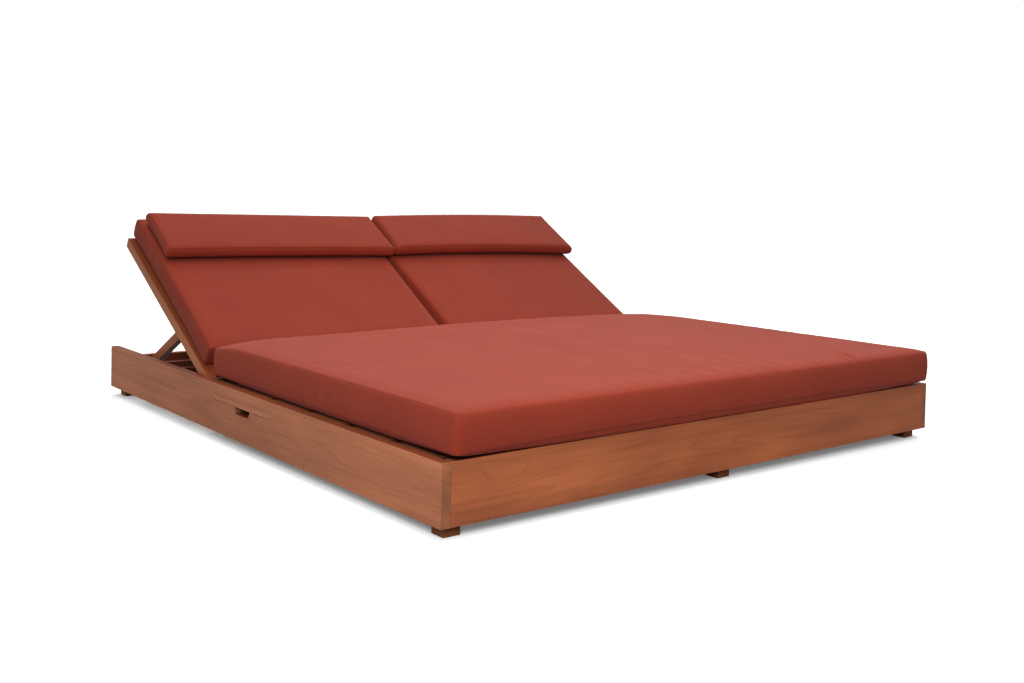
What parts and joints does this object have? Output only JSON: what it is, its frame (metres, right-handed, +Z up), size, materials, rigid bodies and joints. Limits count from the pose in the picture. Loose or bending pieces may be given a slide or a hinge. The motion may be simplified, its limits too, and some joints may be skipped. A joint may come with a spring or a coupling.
{
  "type": "double chaise lounger",
  "caption": "Low, wide slatted wooden sun lounger for two, with a full-width seat cushion, separately reclining padded backs with head pillows, and pull-out side trays.",
  "frame": {"origin": "on the floor, under the middle of the overall length and width at the rest pose", "axes": "+Y along the length, from the foot end to the head end; +Z up; +X to the right seen from the foot end"},
  "size_m": [1.88, 2.068, 0.6474],
  "materials": {
    "teak": "satin",
    "canvas": "matte",
    "steel": "satin"
  },
  "bodies": {
    "base": {"centre_beam": "teak", "cross_bearer": "teak", "foot_corner_left": "teak", "foot_corner_right": "teak", "foot_middle": "teak", "foot_rail": "teak", "foot_screws": "steel", "head_corner_left": "teak", "head_corner_right": "teak", "head_middle": "teak", "head_rail": "teak", "ledger_left": "teak", "ledger_right": "teak", "rack_inner_left": "teak", "rack_inner_right": "teak", "rack_outer_left": "teak", "rack_outer_right": "teak", "seat_cushion": "canvas", "seat_slat_1": "teak", "seat_slat_2": "teak", "seat_slat_3": "teak", "seat_slat_4": "teak", "seat_slat_5": "teak", "seat_slat_6": "teak", "side_rail_left": "teak", "side_rail_right": "teak", "tray_runner_foot_left": "teak", "tray_runner_foot_right": "teak", "tray_runner_head_left": "teak", "tray_runner_head_right": "teak"},
    "back_left": {"back_cushion_left": "canvas", "back_pins_left": "steel", "back_rail_lower_left": "teak", "back_rail_upper_left": "teak", "back_slat_1_left": "teak", "back_slat_2_left": "teak", "back_slat_3_left": "teak", "head_pillow_left": "canvas", "stile_inner_left": "teak", "stile_outer_left": "teak"},
    "back_right": {"back_cushion_right": "canvas", "back_pins_right": "steel", "back_rail_lower_right": "teak", "back_rail_upper_right": "teak", "back_slat_1_right": "teak", "back_slat_2_right": "teak", "back_slat_3_right": "teak", "head_pillow_right": "canvas", "stile_inner_right": "teak", "stile_outer_right": "teak"},
    "prop_left": {"prop_bar_left": "teak", "strut_inner_left": "teak", "strut_outer_left": "teak"},
    "prop_right": {"prop_bar_right": "teak", "strut_inner_right": "teak", "strut_outer_right": "teak"},
    "tray_left": {"tray_board_left": "teak", "tray_stop_left": "teak"},
    "tray_right": {"tray_board_right": "teak", "tray_stop_right": "teak"}
  },
  "joints": [
    {"name": "back_left_recline", "type": "hinge", "parent": "base", "child": "back_left", "pos_m": [-0.46325, 0.268, 0.155], "axis": [1, 0, 0], "range_deg": [-29.2, 22.8]},
    {"name": "prop_left_swing", "type": "hinge", "parent": "back_left", "child": "prop_left", "pos_m": [-0.46325, 0.52194, 0.28891], "axis": [1, 0, 0], "range_deg": [-40.63, 52.04]},
    {"name": "tray_left_slide", "type": "slide", "parent": "base", "child": "tray_left", "axis": [-1, 0, 0], "range_m": [0, 0.28]},
    {"name": "back_right_recline", "type": "hinge", "parent": "base", "child": "back_right", "pos_m": [0.46325, 0.268, 0.155], "axis": [1, 0, 0], "range_deg": [-29.2, 22.8]},
    {"name": "prop_right_swing", "type": "hinge", "parent": "back_right", "child": "prop_right", "pos_m": [0.46325, 0.52194, 0.28891], "axis": [1, 0, 0], "range_deg": [-40.63, 52.04]},
    {"name": "tray_right_slide", "type": "slide", "parent": "base", "child": "tray_right", "axis": [1, 0, 0], "range_m": [0, 0.28]}
  ],
  "couplings": [
    {"joint": "prop_left_swing", "follows": "back_left_recline", "ratio": -1.7818},
    {"joint": "prop_right_swing", "follows": "back_right_recline", "ratio": -1.7818}
  ]
}
